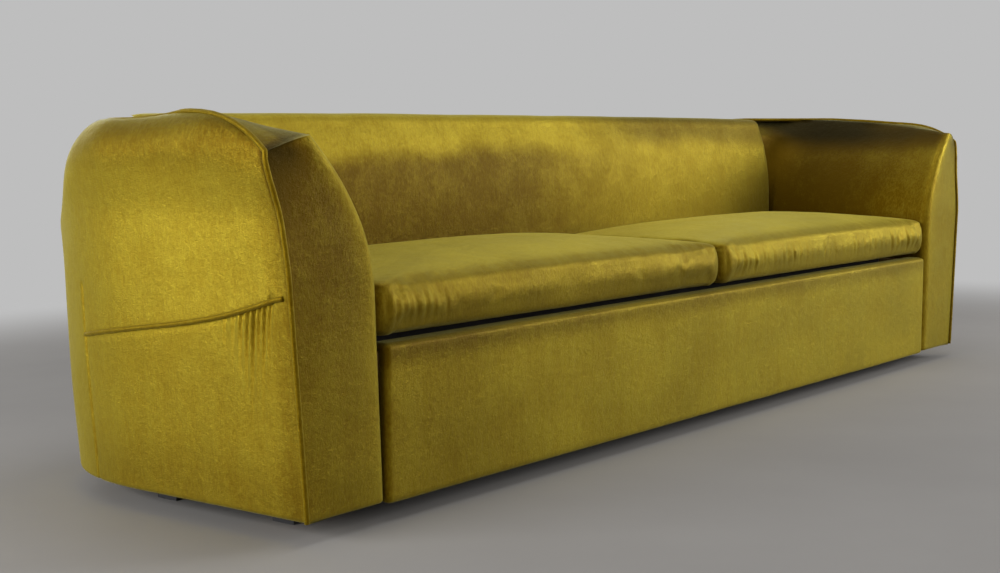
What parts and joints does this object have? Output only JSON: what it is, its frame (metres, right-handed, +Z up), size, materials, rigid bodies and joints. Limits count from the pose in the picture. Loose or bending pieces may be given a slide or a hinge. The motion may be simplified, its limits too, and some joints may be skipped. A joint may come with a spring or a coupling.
{
  "type": "sofa bed",
  "caption": "Low velvet sofa bed with flared rounded arms, loose seat cushions and a bed that lifts and unfolds in sections over the front rail",
  "frame": {"origin": "middle of the footprint at floor level", "axes": "+X to the right seen from the front, -Y the front of the sofa, +Z up; left and right in names are as seen from the front"},
  "size_m": [2.8308, 0.8112, 0.7003],
  "materials": {
    "velvet": "gold short pile velvet, strong sheen",
    "velvet_piping": "gold velvet piping",
    "timber": "planed softwood, unpainted",
    "grey_steel": "grey powder coat",
    "zinc_steel": "zinc plated",
    "mattress_cover": "off-white cotton ticking",
    "dark_cloth": "black woven cloth",
    "black_plastic": "satin black"
  },
  "bodies": {
    "sofa": {"arm_cover_left": "velvet", "arm_cover_right": "velvet", "back_cover": "velvet", "back_pad": "velvet", "front_panel": "velvet", "welt": "velvet_piping", "pocket_welt": "velvet_piping", "arm_frame_left": "timber", "arm_frame_right": "timber", "back_frame": "timber", "front_board": "timber", "side_board_left": "timber", "side_board_right": "timber", "dust_cover": "dark_cloth", "feet": "black_plastic", "side_plates": "grey_steel", "plate_bolts": "zinc_steel", "rear_pins": "zinc_steel"},
    "lift_arms": {"lift_arms": "grey_steel"},
    "tie_arms": {"tie_arms": "grey_steel"},
    "inner_section": {"inner_frame": "grey_steel", "inner_deck": "dark_cloth", "inner_mattress": "mattress_cover", "arm_pins": "zinc_steel", "main_hinge_pins": "zinc_steel"},
    "middle_section": {"middle_frame": "grey_steel", "middle_deck": "dark_cloth", "middle_mattress": "mattress_cover", "fold_hinge_pins": "zinc_steel"},
    "foot_section": {"foot_frame": "grey_steel", "foot_deck": "dark_cloth", "foot_mattress": "mattress_cover", "leg_pins": "zinc_steel", "pull_tab": "dark_cloth"},
    "middle_legs": {"middle_legs": "grey_steel", "middle_leg_tips": "black_plastic"},
    "left_foot_leg": {"left_foot_leg": "grey_steel", "left_leg_tip": "black_plastic"},
    "right_foot_leg": {"right_foot_leg": "grey_steel", "right_leg_tip": "black_plastic"},
    "left_cushion": {"left_cushion": "velvet"},
    "right_cushion": {"right_cushion": "velvet"}
  },
  "joints": [
    {"name": "bed_unfold", "type": "hinge", "parent": "inner_section", "child": "middle_section", "pos_m": [0, -0.30532, 0.141], "axis": [1, 0, 0], "range_deg": [0, 180]},
    {"name": "lift_arms_raise", "type": "hinge", "parent": "sofa", "child": "lift_arms", "pos_m": [0, 0.26538, 0.211], "axis": [-1, 0, 0], "range_deg": [0, 28.2]},
    {"name": "tie_arms_raise", "type": "hinge", "parent": "sofa", "child": "tie_arms", "pos_m": [0, 0.26538, 0.256], "axis": [-1, 0, 0], "range_deg": [0, 28.2]},
    {"name": "deck_level", "type": "hinge", "parent": "lift_arms", "child": "inner_section", "pos_m": [0, -0.27782, 0.075], "axis": [1, 0, 0], "range_deg": [0, 28.2]},
    {"name": "foot_unfold", "type": "hinge", "parent": "middle_section", "child": "foot_section", "pos_m": [0, 0.07968, 0.2295], "axis": [1, 0, 0], "range_deg": [-180, 0]},
    {"name": "middle_legs_fold", "type": "hinge", "parent": "foot_section", "child": "middle_legs", "pos_m": [0, 0.06618, 0.24], "axis": [1, 0, 0], "range_deg": [0, 90]},
    {"name": "left_foot_leg_fold", "type": "hinge", "parent": "foot_section", "child": "left_foot_leg", "pos_m": [-1.088, -0.29682, 0.24], "axis": [0, 1, 0], "range_deg": [0, 90]},
    {"name": "right_foot_leg_fold", "type": "hinge", "parent": "foot_section", "child": "right_foot_leg", "pos_m": [1.088, -0.29682, 0.24], "axis": [0, -1, 0], "range_deg": [0, 90]},
    {"name": "left_cushion_lift", "type": "slide", "parent": "foot_section", "child": "left_cushion", "axis": [0, 0, 1], "range_m": [0, 0.25]},
    {"name": "right_cushion_lift", "type": "slide", "parent": "foot_section", "child": "right_cushion", "axis": [0, 0, 1], "range_m": [0, 0.25]}
  ],
  "couplings": [
    {"joint": "lift_arms_raise", "follows": "bed_unfold", "ratio": 0.15618},
    {"joint": "tie_arms_raise", "follows": "bed_unfold", "ratio": 0.15618},
    {"joint": "deck_level", "follows": "bed_unfold", "ratio": 0.15618},
    {"joint": "foot_unfold", "follows": "bed_unfold", "ratio": -1},
    {"joint": "middle_legs_fold", "follows": "bed_unfold", "ratio": 0.5},
    {"joint": "left_foot_leg_fold", "follows": "bed_unfold", "ratio": 0.5},
    {"joint": "right_foot_leg_fold", "follows": "bed_unfold", "ratio": 0.5}
  ]
}
